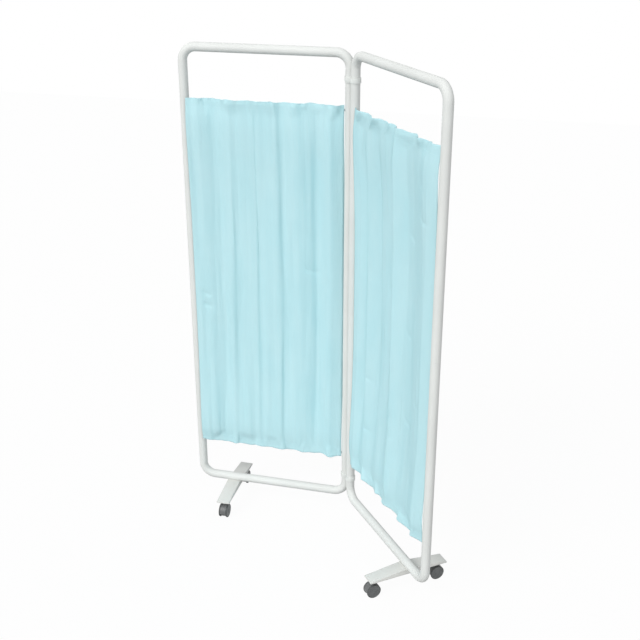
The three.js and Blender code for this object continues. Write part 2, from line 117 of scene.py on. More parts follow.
# How deep a crease is, how it fades above and below its line, and how far it runs past its ends
CREASE_DEPTH = 0.0036
CREASE_WIDTH_ABOVE = 0.013
CREASE_WIDTH_BELOW = 0.006
CREASE_OVERRUN = 0.2

CLOTH_THICKNESS = 0.0008
CASING_RADIUS = 0.0062
CASING_WALL = 0.0008
CASING_INSET = 0.008

# How the mesh of the cloth is divided: rows up it, and points along each flat and each fold
ROW_STEP = 0.0052
FINE_ROW_STEP = 0.003
FINE_ROW_BAND = 0.035
LEAST_ROW_STEP = 0.0012
FLAT_STEPS = 4
BEND_STEPS = 5
MOST_OF_A_FLAT = 0.46

# How far the middle of the cloth stands in front of the rods: by them, and where it hangs free
CLOTH_STAND_OFF = 0.0155
MID_STAND_OFF = 0.003
STAND_OFF_BAND = 0.25

# At a rod the cloth is sewn down, its folds run flatter, and it can't pass through the casing
HEM_BAND = 0.045
SEAM_PULL = 0.005
SEAM_BAND = 0.045
FLATTENING = 0.62
FLATTENING_BAND = 0.13
CASING_GAP = 0.0004
CASING_HOLD = 0.006
CASING_SLOPE = 0.30
CASING_REACH = 0.04
CASING_SOFTNESS = 0.0015
END_TUCK = 0.011

# The frilled header above the top rod, which starts just over it and leans back
HEADER_START = 0.004
HEADER_LEAN = 0.15
FRILL_DEPTH = 0.0048
FRILL_WIDTH = 0.014
FRILL_RISE = 0.012

# Wrinkles down the cloth: depth, width, how far up they keep their shape, and their random layer
WRINKLES = ((0.0028, 0.010, 0.40, 3), (0.0042, 0.019, 0.80, 6))
WRINKLE_DRIFT = 0.8
PUCKER_DEPTH = 0.0010
PUCKER_WIDTH = 0.0065
PUCKER_BAND = 0.05
RIPPLE_DEPTH = 0.0007
SWAY_ALONG = 0.006
SWAY_OUT = 0.005

# The cloth lies flat over its last few points, and stays clear of the uprights
SIDE_POINTS = 6
TUBE_GAP = 0.0009

# The sewn casing round a rod: its mesh, its puckers and its clearances
CASING_STATIONS = 260
CASING_SIDES = 20
CASING_PUCKER = 0.0006
CASING_START_GAP = 0.001
ROD_GAP = 0.0004

# The cut edges rise and fall a little, and one lower corner of cloth is drawn up
EDGE_RISE = 0.0052
EDGE_WAVE = 0.034
EDGE_BAND = 0.010
CORNER_ALONG = 0.016
CORNER_UP = 0.020


# Materials

class Signal:
    """A shader socket that takes part in plain arithmetic."""

    def __init__(self, surface, socket):
        self.surface = surface
        self.socket = socket

    def combine(self, operation, *values):
        return self.surface.node("ShaderNodeMath", {"operation": operation}, dict(enumerate(values)))

    def __add__(self, other):
        return self.combine("ADD", self, other)

    def __sub__(self, other):
        return self.combine("SUBTRACT", self, other)

    def __mul__(self, other):
        return self.combine("MULTIPLY", self, other)

    def __rsub__(self, other):
        return self.combine("SUBTRACT", other, self)

    __radd__ = __add__
    __rmul__ = __mul__

    def held(self):
        """Kept between 0 and 1."""
        return self.combine("MINIMUM", self.combine("MAXIMUM", self, 0.0), 1.0)

    def between(self, low, high):
        """0 below low, 1 above high, and smooth in between."""
        settings = {"interpolation_type": "SMOOTHSTEP"}
        return self.surface.node("ShaderNodeMapRange", settings, {0: self, 1: low, 2: high})

    def sine(self):
        return self.combine("SINE", self)


class Surface:
    """A material and the tree behind its Principled shader."""

    def __init__(self, name, **finish):
        self.material = bpy.data.materials.new(name)
        self.material.use_nodes = True
        self.tree = self.material.node_tree
        self.shader = self.tree.nodes["Principled BSDF"]
        self.set(**finish)

    def feed(self, socket, value):
        if isinstance(value, Signal):
            self.tree.links.new(value.socket, socket)
        else:
            socket.default_value = value

    def node(self, kind, settings=None, values=None, output=0):
        made = self.tree.nodes.new(kind)
        for name, value in (settings or {}).items():
            setattr(made, name, value)
        for name, value in (values or {}).items():
            self.feed(made.inputs[name], value)
        return Signal(self, made.outputs[output])

    def place(self, scale=(1, 1, 1), source="Object"):
        """Where a point is, on the object or on the piece's own cloth map."""
        outputs = {"Object": 3, "UV": 2}
        where = self.node("ShaderNodeTexCoord", output=outputs[source])
        return self.node("ShaderNodeMapping", None, {"Vector": where, "Scale": scale})

    def axis(self, vector, name):
        return self.node("ShaderNodeSeparateXYZ", None, {0: vector}, output="XYZ".index(name))

    def noise(self, place, scale, detail=2.0, roughness=0.5, distortion=0.0):
        values = {"Vector": place, "Scale": scale, "Detail": detail, "Roughness": roughness,
                  "Distortion": distortion}
        return self.node("ShaderNodeTexNoise", None, values)

    def facing(self):
        """How far the surface looks up: 1 on top, -1 below."""
        geometry = self.node("ShaderNodeNewGeometry", output=1)
        return self.axis(geometry, "Z")

    def blend(self, share, first, second):
        """Two colours mixed, on the Mix node's colour sockets."""
        values = {0: share, 6: first, 7: second}
        return self.node("ShaderNodeMix", {"data_type": "RGBA"}, values, output=2)

    def bump(self, height, distance, strength=1.0, under=None):
        values = {"Height": height, "Distance": distance, "Strength": strength}
        if under is not None:
            values["Normal"] = under
        return self.node("ShaderNodeBump", None, values)

    def set(self, **finish):
        sockets = {socket.name.lower(): socket for socket in self.shader.inputs}
        for name, value in finish.items():
            self.feed(sockets[name.replace("_", " ")], value)
        return self.material


def rgb(red, green, blue):
    return (red, green, blue, 1.0)


def coated_steel(name, colour, shade, peel):
    """Powder coat on steel: a fine orange peel, a faint mottle and settled dust on top."""
    paint = Surface(name)
    place = paint.place()
    mottle = paint.noise(place, scale=9.0, detail=3.0)
    speck = paint.noise(place, scale=420.0).between(0.66, 0.74)
    dust = paint.noise(place, scale=24.0, detail=4.0).between(0.4, 0.7)
    dust = paint.facing().between(0.55, 1.0) * dust
    body = paint.blend(mottle.between(0.35, 0.65), colour, shade)
    body = paint.blend(speck * 0.10, body, rgb(0.52, 0.53, 0.50))
    body = paint.blend(dust * 0.10, body, rgb(0.70, 0.69, 0.66))
    orange_peel = paint.noise(place, scale=peel)
    ripple = paint.bump(paint.noise(place, scale=70.0), distance=0.0001)
    return paint.set(
        base_color=body,
        roughness=0.56 + mottle * 0.10 + dust * 0.14,
        normal=paint.bump(orange_peel, distance=0.00006, under=ripple),
        specular_ior_level=0.3,
    )


def moulded_plastic(name, colour, shade, rough, grain, lines=0.0):
    """Moulded plastic: a spark-eroded grain, slight wear and, on the hoods, faint drawn lines."""
    plastic = Surface(name)
    place = plastic.place()
    mottle = plastic.noise(place, scale=60.0, detail=3.0)
    scuff = plastic.noise(plastic.place((1, 1, 9)), scale=130.0, detail=4.0, roughness=0.6)
    scuff = scuff.between(0.6, 0.78)
    body = plastic.blend(mottle.between(0.3, 0.7), colour, shade)
    lighter = tuple(min(1.0, 1.5 * c + 0.03) for c in colour[:3]) + (1.0,)
    body = plastic.blend(scuff * 0.35, body, lighter)
    drawn = plastic.noise(place, scale=200.0, detail=1.0) * lines
    height = plastic.noise(place, scale=grain) + drawn
    return plastic.set(
        base_color=body,
        roughness=rough + mottle * 0.1 - scuff * 0.08,
        normal=plastic.bump(height, distance=0.00008),
    )


def zinc_plate():
    """Bright zinc over drawn steel: fine lengthwise scratches and cloudy patches."""
    zinc = Surface("zinc_steel", metallic=1.0)
    place = zinc.place()
    cloud = zinc.noise(place, scale=45.0, detail=4.0, roughness=0.6)
    scratch = zinc.noise(zinc.place((1, 1, 14)), scale=260.0, detail=3.0)
    body = zinc.blend(cloud.between(0.35, 0.65), rgb(0.50, 0.51, 0.53), rgb(0.62, 0.63, 0.64))
    body = zinc.blend(scratch.between(0.6, 0.75) * 0.3, body, rgb(0.36, 0.36, 0.37))
    return zinc.set(
        base_color=body,
        roughness=0.26 + cloud * 0.2,
        normal=zinc.bump(scratch, distance=0.00003),
    )


THREAD_PITCH = 0.0009


def curtain_cloth():
    """Plain-weave cotton blend: threads both ways, slubs along the warp, creases and a soft mottle."""
    cloth = Surface("curtain_fabric")
    place = cloth.place(source="UV")
    turn = 2 * math.pi / THREAD_PITCH
    warp = (cloth.axis(place, "X") * turn).sine()
    weft = (cloth.axis(place, "Y") * turn).sine()
    weave = warp * weft * 0.5 + 0.5
    slub = cloth.noise(cloth.place((60, 3, 1), "UV"), scale=9.0, detail=3.0, roughness=0.6)
    crease = cloth.noise(
        cloth.place((26, 2.2, 1), "UV"), scale=3.0, detail=4.0, roughness=0.55, distortion=0.3)
    mottle = cloth.noise(cloth.place((10, 3, 1), "UV"), scale=1.6, detail=3.0)
    body = cloth.blend(mottle.between(0.3, 0.7), rgb(0.49, 0.748, 0.793), rgb(0.52, 0.765, 0.807))
    body = cloth.blend(slub.between(0.52, 0.75) * 0.35, body, rgb(0.455, 0.732, 0.778))
    body = cloth.blend(weave * 0.10, body, rgb(0.425, 0.692, 0.742))
    soft = cloth.bump(crease, distance=0.0016)
    uneven = cloth.bump(slub, distance=0.0003, under=soft)
    return cloth.set(
        base_color=body,
        roughness=0.86 + slub * 0.08,
        normal=cloth.bump(weave, distance=0.00012, strength=0.7, under=uneven),
        sheen_weight=0.04,
        sheen_roughness=0.5,
        sheen_tint=rgb(0.85, 0.95, 0.96),
        specular_ior_level=0.15,
    )


def casing_cloth():
    """The same cloth where it is sewn into a tube round a rod: puckers across it, with painted shade
    that darkens their hollows and lightens their crests.
    """
    cloth = Surface("curtain_casing")
    place = cloth.place()
    pucker = cloth.noise(place, scale=160.0, detail=3.0, roughness=0.6)
    thread = cloth.noise(place, scale=1100.0)
    soft = cloth.bump(pucker, distance=0.0006)
    # The colour follows the puckers' height: painted shade, darker in their hollows and lighter on
    # their crests.
    body = cloth.blend(pucker.between(0.35, 0.65), rgb(0.47, 0.725, 0.77), rgb(0.53, 0.775, 0.81))
    return cloth.set(
        base_color=body,
        roughness=0.86 + thread * 0.08,
        normal=cloth.bump(thread, distance=0.00015, strength=0.8, under=soft),
        sheen_weight=0.04,
        sheen_roughness=0.5,
        specular_ior_level=0.15,
    )


def sewing_thread():
    """Polyester thread: a fine twist along each stitch."""
    thread = Surface("hem_thread")
    twist = thread.noise(thread.place(), scale=1800.0, detail=1.0)
    tone = thread.blend(twist, rgb(0.52, 0.80, 0.83), rgb(0.62, 0.87, 0.89))
    return thread.set(base_color=tone, roughness=0.55 + twist * 0.2, sheen_weight=0.2)


PAINT = coated_steel(
    "frame_paint", rgb(0.735, 0.748, 0.725), rgb(0.708, 0.72, 0.698), peel=900.0)
FOOT_PAINT = coated_steel("foot_paint", rgb(0.70, 0.70, 0.67), rgb(0.67, 0.67, 0.64), peel=700.0)
LINK_PLASTIC = moulded_plastic(
    "hinge_plastic", rgb(0.75, 0.77, 0.745), rgb(0.72, 0.74, 0.715), rough=0.42, grain=1500.0)
ZINC = zinc_plate()
CLOTH = curtain_cloth()
CASING = casing_cloth()
THREAD = sewing_thread()
HOOD = moulded_plastic(
    "caster_hood", rgb(0.118, 0.120, 0.120), rgb(0.136, 0.139, 0.139),
    rough=0.40, grain=1300.0, lines=0.5)
WHEEL = moulded_plastic(
    "caster_wheel", rgb(0.10, 0.105, 0.105), rgb(0.125, 0.13, 0.13), rough=0.44, grain=1300.0)
TYRE = moulded_plastic(
    "caster_tyre", rgb(0.07, 0.073, 0.072), rgb(0.085, 0.09, 0.088), rough=0.62, grain=1700.0)


# Helpers for numbers and lines

def eased(share):
    """From 0 to 1 with a soft start and end. What lies outside is held at 0 or 1."""
    share = min(max(share, 0.0), 1.0)
    return share * share * (3 - 2 * share)


def mix(first, second, share):
    return first + (second - first) * share


def soft_max(first, second, width):
    """The larger of the two, rounded where they cross."""
    gap = (first - second) / width
    far_apart = 12
    if abs(gap) > far_apart:
        return max(first, second)
    return second + width * math.log1p(math.exp(gap))


def near(distance, width):
    """1 at no distance, and fading out over the width."""
    return math.exp(-(distance / width) ** 2)


def face_of(line, i):
    """The sideways direction of a fold line at one of its points."""
    before = line[max(i - 1, 0)]
    after = line[min(i + 1, len(line) - 1)]
    way = (after - before).normalized()
    return Vector((-way.y, way.x))


def lengths_along(line):
    """How far along a fold line each of its points lies."""
    run = 0.0
    runs = [run]
    for before, point in zip(line, line[1:]):
        run += (point - before).length
        runs.append(run)
    return runs


# Helpers for meshes

def middle_of(node):
    low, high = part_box(node)
    return (low + high) / 2


def piece_from(name, vertices, faces, material, smooth=True):
    """A closed mesh whose faces are turned outwards."""
    shape = bmesh.new()
    points = [shape.verts.new(v) for v in vertices]
    for corners in faces:
        shape.faces.new([points[i] for i in corners])
    bmesh.ops.remove_doubles(shape, verts=shape.verts, dist=1e-7)
    bmesh.ops.recalc_face_normals(shape, faces=shape.faces)
    return finish_mesh(name, shape, material, smooth)


def finish_mesh(name, shape, material, smooth=True):
    mesh = bpy.data.meshes.new(name)
    for face in shape.faces:
        face.smooth = smooth
    shape.to_mesh(mesh)
    shape.free()
    piece = bpy.data.objects.new(name, mesh)
    bpy.context.scene.collection.objects.link(piece)
    mesh.materials.append(material)
    return piece


def bake_modifiers(piece):
    """Puts what the modifiers make into the piece's own mesh, and takes them off."""
    graph = bpy.context.evaluated_depsgraph_get()
    made = bpy.data.meshes.new_from_object(piece.evaluated_get(graph))
    old = piece.data
    made.name = old.name
    piece.modifiers.clear()
    piece.data = made
    bpy.data.meshes.remove(old)
    return piece


def sharpen(piece, degrees):
    """Smooth shading with a crisp line where faces meet at more than this angle."""
    piece.data.set_sharp_from_angle(angle=math.radians(degrees))
    return piece


def turned_mesh(profile, steps, closed):
    """Spins (radius, along) points round X. A closed profile is a ring's section, and an open one
    starts and ends on the axis."""
    vertices = []
    faces = []
    count = len(profile)
    for i in range(steps):
        angle = 2 * math.pi * i / steps
        for radius, along in profile:
            vertices.append((along, radius * math.cos(angle), radius * math.sin(angle)))
    for i in range(steps):
        this, following = i * count, (i + 1) % steps * count
        for k in range(count if closed else count - 1):
            m = (k + 1) % count
            faces.append((this + k, this + m, following + m, following + k))
    return vertices, faces


def rounded(points, radius, steps=4):
    """A closed outline with each corner rounded. A corner may carry its own radius third."""
    most_of_a_side = 0.49
    outline = []
    count = len(points)
    for i, corner in enumerate(points):
        own = corner[2] if len(corner) > 2 else radius
        here = Vector(corner[:2])
        before = Vector(points[i - 1][:2]) - here
        after = Vector(points[(i + 1) % count][:2]) - here
        if own <= 0:
            outline.append(tuple(here))
            continue
        half = before.angle(after) / 2
        shorter = min(before.length, after.length)
        reach = min(own / math.tan(half), shorter * most_of_a_side)
        start = here + before.normalized() * reach
        end = here + after.normalized() * reach
        for k in range(steps + 1):
            t = k / steps
            point = start.lerp(here, t).lerp(here.lerp(end, t), t)
            outline.append(tuple(point))
    return outline


# Where the panels stand

class Panel:
    """A panel's directions: along its rails from the outer upright, out to its front, and up."""

    def __init__(self, letter, front_turn):
        self.letter = letter
        outer = middle_of(f"frame_{letter}_outer_sleeve")
        hinge = middle_of(f"frame_{letter}_hinge_sleeve")
        self.width = (hinge - outer).length
        self.along = (hinge - outer).normalized()
        self.out = Vector((-self.along.y, self.along.x, 0)) * front_turn
        self.base = outer - UP * RAIL_SPACING / 2
        self.body = f"panel_{letter}"

    def at(self, along, out, up):
        return self.base + self.along * along + self.out * out + UP * up


PANELS = [Panel("a", -1), Panel("b", 1)]


# Helpers for Geometry Nodes

class Tree:
    """A Geometry Nodes tree with named inputs."""

    def __init__(self, name, inputs):
        self.tree = bpy.data.node_groups.new(name, "GeometryNodeTree")
        self.tree.interface.new_socket(
            name="Geometry", in_out="INPUT", socket_type="NodeSocketGeometry")
        self.tree.interface.new_socket(
            name="Geometry", in_out="OUTPUT", socket_type="NodeSocketGeometry")
        self.inputs = {}
        for label, kind in inputs.items():
            socket = self.tree.interface.new_socket(name=label, in_out="INPUT", socket_type=kind)
            self.inputs[label] = socket.identifier
        self.entry = self.tree.nodes.new("NodeGroupInput")
        self.exit = self.tree.nodes.new("NodeGroupOutput")

    def node(self, kind, settings=None, values=None, output=0):
        made = self.tree.nodes.new(kind)
        for name, value in (settings or {}).items():
            setattr(made, name, value)
        for name, value in (values or {}).items():
            if isinstance(value, bpy.types.NodeSocket):
                self.tree.links.new(value, made.inputs[name])
            else:
                made.inputs[name].default_value = value
        return made.outputs[output]

    def entered(self, name):
        return self.entry.outputs[name]

    def end(self, geometry):
        """Real geometry with the material set, as the export needs."""
        real = self.node("GeometryNodeRealizeInstances", None, {"Geometry": geometry})
        painted = self.node(
            "GeometryNodeSetMaterial", None,
            {"Geometry": real, "Material": self.entered("Material")})
        self.tree.links.new(painted, self.exit.inputs[0])

    def apply(self, piece, values):
        modifier = piece.modifiers.new(self.tree.name, "NODES")
        modifier.node_group = self.tree
        for name, value in values.items():
            modifier[self.inputs[name]] = value
        return bake_modifiers(piece)


def path_object(name, points):
    """An open path of plain edges."""
    mesh = bpy.data.meshes.new(name)
    mesh.from_pydata([tuple(p) for p in points], [(i, i + 1) for i in range(len(points) - 1)], [])
    piece = bpy.data.objects.new(name, mesh)
    bpy.context.scene.collection.objects.link(piece)
    return piece


# Frame tubes: a bent tube along each half frame's path

def bent_tube_tree():
    """A round tube swept along a path whose corners are bent."""
    tube = Tree("bent tube", {
        "Tube Radius": "NodeSocketFloat",
        "Bend Radius": "NodeSocketFloat",
        "Sides": "NodeSocketInt",
        "Bend Steps": "NodeSocketInt",
        "Material": "NodeSocketMaterial",
    })
    path = tube.node("GeometryNodeMeshToCurve", None, {"Mesh": tube.entered("Geometry")})
    bent = tube.node(
        "GeometryNodeFilletCurve", {"mode": "POLY"},
        {"Curve": path, "Radius": tube.entered("Bend Radius"), "Count": tube.entered("Bend Steps")})
    ring = tube.node(
        "GeometryNodeCurvePrimitiveCircle", {"mode": "RADIUS"},
        {"Resolution": tube.entered("Sides"), "Radius": tube.entered("Tube Radius")})
    swept = tube.node(
        "GeometryNodeCurveToMesh", None, {"Curve": bent, "Profile Curve": ring, "Fill Caps": True})
    tube.end(tube.node("GeometryNodeSetShadeSmooth", None, {"Geometry": swept}))
    return tube


TUBE_SIDES = 44
TUBE_BEND_STEPS = 14
TUBE = bent_tube_tree()

for panel in PANELS:
    seam = RAIL_SPACING / 2
    halves = {
        "upper": (seam + SEAM_GAP / 2, RAIL_SPACING),
        "lower": (seam - SEAM_GAP / 2, 0.0),
    }
    for half, (start, rail) in halves.items():
        corners = [(0, start), (0, rail), (panel.width, rail), (panel.width, start)]
        tube = path_object(
            f"tube_{panel.letter}_{half}", [panel.at(along, 0, up) for along, up in corners])
        TUBE.apply(tube, {
            "Tube Radius": TUBE_RADIUS,
            "Bend Radius": BEND_RADIUS,
            "Sides": TUBE_SIDES,
            "Bend Steps": TUBE_BEND_STEPS,
            "Material": PAINT,
        })
        sharpen(tube, degrees=50)
        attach(tube, panel.body)
        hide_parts(f"frame_{panel.letter}_{half}")


# Curtains

class Curtain:
    """A gathered cloth that hangs in front of its rods, with a sewn casing behind it round each."""

    def __init__(self, panel):
        self.panel = panel
        self.letter = panel.letter
        shape = CURTAINS[panel.letter]
        self.low = shape["low"]
        self.high = shape["high"]
        self.rounding = shape["rounding"]
        self.corner_lift = shape["corner_lift"]
        self.lines = [
            [Vector((place * panel.width, offset * FOLD_DEPTH)) for place, offset in shape[end]]
            for end in ("bottom", "middle", "top")]
        self.creases = CREASES[panel.letter]
        self.seed = 10.0 if panel.letter == "a" else 40.0
        self.heights = self.rows()
        self.middles = [self.row(up) for up in self.heights]

    def random(self, across, up, layer):
        return noise.noise(Vector((across, up, self.seed + layer)))

    def to_rod(self, up):
        return min(abs(up - rod) for rod in ROD_HEIGHTS)

    def rows(self):
        """Heights of the rows, closer together at the rods and the edges."""
        heights = []
        up = self.low
        while up < self.high - LEAST_ROW_STEP:
            heights.append(up)
            up += FINE_ROW_STEP if self.to_rod(up) < FINE_ROW_BAND else ROW_STEP
        return heights + [self.high]

    def corners(self, up):
        """The fold line's corners at one height, which sway a little on the way up."""
        share = (up - self.low) / (self.high - self.low)
        free = eased(min(share, 1 - share) / HEM_BAND)
        swing = math.sin(math.pi * share)
        last = len(self.lines[0]) - 1
        points = []
        for i, (bottom, middle, top) in enumerate(zip(*self.lines)):
            point = bottom.lerp(top, mix(share, eased(share), 0.5)).lerp(middle, free)
            if 0 < i < last:
                along = SWAY_ALONG * self.random(i * 1.7, up * 2.6, layer=1)
                out = SWAY_OUT * self.random(i * 1.7, up * 2.2, layer=2)
                point = point + Vector((along, out)) * swing
            points.append(point)
        return points

    def fold_line(self, corners):
        """Flat stretches joined by rounded folds, always with the same number of points."""
        line = [corners[0]]
        for before, here, after in zip(corners, corners[1:], corners[2:]):
            back = before - here
            on = after - here
            start = here + back.normalized() * min(self.rounding, MOST_OF_A_FLAT * back.length)
            end = here + on.normalized() * min(self.rounding, MOST_OF_A_FLAT * on.length)
            first = line[-1]
            line += [first.lerp(start, k / FLAT_STEPS) for k in range(1, FLAT_STEPS)]
            for k in range(BEND_STEPS + 1):
                t = k / BEND_STEPS
                line.append(start.lerp(here, t).lerp(here.lerp(end, t), t))
        first = line[-1]
        return line + [first.lerp(corners[-1], k / FLAT_STEPS) for k in range(1, FLAT_STEPS + 1)]

    def strips(self, run, up, width, layer):
        """Narrow flat strips down the cloth, each turned a little from the next."""
        place = run / width + WRINKLE_DRIFT * self.random(run / 0.05, 0.3, layer + 0.5)
        strip = math.floor(place)
        first = self.random(strip * 5.31, up, layer)
        second = self.random((strip + 1) * 5.31, up, layer)
        return mix(first, second, place - strip)

    def wrinkles(self, run, up):
        """Shallow folds down the cloth, puckers at the sewn rods and the frill of the header."""
        frill = min(1.0, self.header(up) / FRILL_RISE)
        depth = 0.0
        for deep, width, lasting, layer in WRINKLES:
            depth += deep * self.strips(run, up / lasting, width, layer)
        depth += RIPPLE_DEPTH * self.random(run / 0.06, up / 0.05, layer=9)
        depth += FRILL_DEPTH * frill * self.random(run / FRILL_WIDTH, 0.7, layer=18)
        pucker = self.random(run / PUCKER_WIDTH, up / 0.09, layer=12)
        return depth + PUCKER_DEPTH * near(self.to_rod(up), PUCKER_BAND) * pucker

    def dent(self, along, up):
        """How far the cloth gives way at its creases, which fade in and out along their run."""
        depth = 0.0
        for place, height, run, drop in self.creases:
            share = (along - place) / run
            if -CREASE_OVERRUN < share < 1 + CREASE_OVERRUN:
                line = height - drop * (1 - math.exp(-3 * share))
                above = up - line
                width = CREASE_WIDTH_ABOVE if above > 0 else CREASE_WIDTH_BELOW
                fade_in = eased((share + CREASE_OVERRUN) / 0.35)
                fade_out = eased((1 + CREASE_OVERRUN - share) / 0.7)
                depth += CREASE_DEPTH * fade_in * fade_out * math.exp(-abs(above) / width)
        return depth

    def header(self, up):
        """How far a height is up the header, over the top rod."""
        return max(0.0, up - ROD_HEIGHTS[1] - HEADER_START)

    def row(self, up):
        """The middle of the cloth at one height: places along and out of its panel."""
        line = self.fold_line(self.corners(up))
        last = len(line) - 1
        rod = self.to_rod(up)
        stand = mix(MID_STAND_OFF, CLOTH_STAND_OFF, near(rod, STAND_OFF_BAND))
        stand -= SEAM_PULL * near(rod, SEAM_BAND)
        stand -= HEADER_LEAN * self.header(up)
        flatter = 1.0 - FLATTENING * near(rod, FLATTENING_BAND)
        casing_front = CASING_RADIUS + CLOTH_THICKNESS / 2 + CASING_GAP
        casing_front -= CASING_SLOPE * max(0.0, rod - CASING_HOLD)
        points = []
        for i, (point, run) in enumerate(zip(line, lengths_along(line))):
            depth = self.wrinkles(run, up) - self.dent(point.x, up)
            moved = point + face_of(line, i) * depth * eased(min(i, last - i) / SIDE_POINTS)
            out = stand + moved.y * (flatter if moved.y < 0 else 1.0)
            if casing_front > -CASING_REACH:
                from_side = min(point.x - line[0].x, line[-1].x - point.x)
                tuck = END_TUCK * (1.0 - eased(from_side / CASING_INSET))
                out = soft_max(out, casing_front - tuck, CASING_SOFTNESS)
            reach = math.sqrt(max(0.0, (TUBE_RADIUS + TUBE_GAP) ** 2 - out ** 2))
            points.append(Vector((min(max(moved.x, reach), self.panel.width - reach), out)))
        return points

    def edge_lift(self, along, up):
        """The small rise and fall of the cut edges above and below the rods."""
        edge = 0.0
        for limit, way in ((self.low, -1), (self.high, 1)):
            rise = self.random(along / EDGE_WAVE, way * 3.0, layer=15)
            edge += way * EDGE_RISE * rise * near(up - limit, EDGE_BAND)
        corner = self.corner_lift * near(along - self.lines[0][0].x, CORNER_ALONG)
        return edge + corner * near(up - self.low, CORNER_UP)

    def length(self):
        """How long the cloth is along its folds, halfway up."""
        return lengths_along(self.middles[len(self.middles) // 2])[-1]

    def build(self, name):
        """Both faces of the cloth and its edges, with a map in metres for the weave."""
        per_row = len(self.middles[0])
        per_side = per_row * len(self.heights)
        vertices = []
        cloth_map = []
        for side in (1, -1):
            for up, line in zip(self.heights, self.middles):
                for i, (point, run) in enumerate(zip(line, lengths_along(line))):
                    surface = point + face_of(line, i) * side * CLOTH_THICKNESS / 2
                    height = up + self.edge_lift(point.x, up)
                    vertices.append(self.panel.at(surface.x, surface.y, height))
                    cloth_map.append((run, height))
        faces = []
        for row in range(len(self.heights) - 1):
            for i in range(per_row - 1):
                a = row * per_row + i
                faces.append((a, a + 1, a + 1 + per_row, a + per_row))
                b = a + per_side
                faces.append((b, b + per_row, b + 1 + per_row, b + 1))
            for edge in (row * per_row, row * per_row + per_row - 1):
                faces.append((edge, edge + per_row, edge + per_row + per_side, edge + per_side))
        for edge in (0, per_side - per_row):
            for i in range(edge, edge + per_row - 1):
                faces.append((i, i + 1, i + 1 + per_side, i + per_side))
        shape = bmesh.new()
        points = [shape.verts.new(v) for v in vertices]
        shape.verts.index_update()
        layer = shape.loops.layers.uv.new("cloth")
        for corners in faces:
            face = shape.faces.new([points[i] for i in corners])
            for loop, i in zip(face.loops, corners):
                loop[layer].uv = cloth_map[i]
        bmesh.ops.recalc_face_normals(shape, faces=shape.faces)
        return finish_mesh(name, shape, CLOTH)

    def stitch_path(self, name, up, side):
        """A line of points on one face of the cloth, for the stitches."""
        line = self.row(up)
        points = []
        for i in range(1, len(line) - 1):
            raised = line[i] + face_of(line, i) * side * (CLOTH_THICKNESS / 2 + STITCH_LIFT)
            points.append(self.panel.at(raised.x, raised.y, up))
        return path_object(name, points)

    def casing(self, name, rod):
        """The sewn tube of cloth that a rod passes through, gathered along it."""
        sides = CASING_SIDES
        start = max(self.lines[0][0].x, TUBE_RADIUS) + CASING_START_GAP
        end = self.lines[0][-1].x - CASING_INSET
        vertices = []
        for i in range(CASING_STATIONS + 1):
            along = mix(start, end, i / CASING_STATIONS)
            for wall in (0.0, 1.0):
                for k in range(sides):
                    angle = 2 * math.pi * k / sides
                    pucker = self.random(along / 0.0055, math.cos(angle) * 1.2, layer=20)
                    pucker += 0.7 * self.random(along / 0.013, math.sin(angle), layer=23)
                    outer = CASING_RADIUS - CASING_PUCKER + CASING_PUCKER * pucker
                    inner = max(outer - CASING_WALL, ROD_RADIUS + ROD_GAP)
                    radius = mix(inner, outer, wall)
                    out, up = radius * math.cos(angle), radius * math.sin(angle)
                    vertices.append(self.panel.at(along, out, rod + up))
        ring = 2 * sides
        faces = []
        for i in range(CASING_STATIONS + 1):
            for k in range(sides):
                a = i * ring + k
                b = i * ring + (k + 1) % sides
                if i < CASING_STATIONS:
                    faces.append((a, b, b + ring, a + ring))
                    faces.append((a + sides, b + sides, b + sides + ring, a + sides + ring))
                if i in (0, CASING_STATIONS):
                    faces.append((a, b, b + sides, a + sides))
        return piece_from(name, vertices, faces, CASING)


HEM_DEPTH = 0.0275
HEADER_DEPTH = 0.0028
STITCH_PITCH = 0.0034
STITCH_LENGTH = 0.0027
STITCH_LIFT = 0.00012
THREAD_RADIUS = 0.00028


def stitch_tree():
    """Short stitches laid end to end along a path."""
    seam = Tree("hem stitches", {
        "Pitch": "NodeSocketFloat",
        "Stitch Length": "NodeSocketFloat",
        "Thread Radius": "NodeSocketFloat",
        "Material": "NodeSocketMaterial",
    })
    path = seam.node("GeometryNodeMeshToCurve", None, {"Mesh": seam.entered("Geometry")})
    spaced = seam.node(
        "GeometryNodeResampleCurve", {"mode": "LENGTH"},
        {"Curve": path, "Length": seam.entered("Pitch")})
    # The path's direction is stored before its points are taken, because points have none
    tangent = seam.node("GeometryNodeInputTangent")
    captured = seam.tree.nodes.new("GeometryNodeCaptureAttribute")
    captured.capture_items.new("VECTOR", "Tangent")
    seam.tree.links.new(spaced, captured.inputs["Geometry"])
    seam.tree.links.new(tangent, captured.inputs["Tangent"])
    points = seam.node(
        "GeometryNodeCurveToPoints", {"mode": "EVALUATED"}, {"Curve": captured.outputs["Geometry"]})
    thread = seam.node(
        "GeometryNodeMeshUVSphere", None,
        {"Segments": 5, "Rings": 4, "Radius": seam.entered("Thread Radius")})
    stretch = seam.node(
        "ShaderNodeMath", {"operation": "DIVIDE"},
        {0: seam.entered("Stitch Length"), 1: seam.entered("Thread Radius")})
    half = seam.node("ShaderNodeMath", {"operation": "MULTIPLY"}, {0: stretch, 1: 0.5})
    size = seam.node("ShaderNodeCombineXYZ", None, {"X": 1.0, "Y": 1.0, "Z": half})
    turned = seam.node(
        "FunctionNodeAlignRotationToVector", {"axis": "Z"},
        {"Vector": captured.outputs["Tangent"]})
    laid = seam.node(
        "GeometryNodeInstanceOnPoints", None,
        {"Points": points, "Instance": thread, "Rotation": turned, "Scale": size})
    seam.end(laid)
    return seam


STITCHES = stitch_tree()

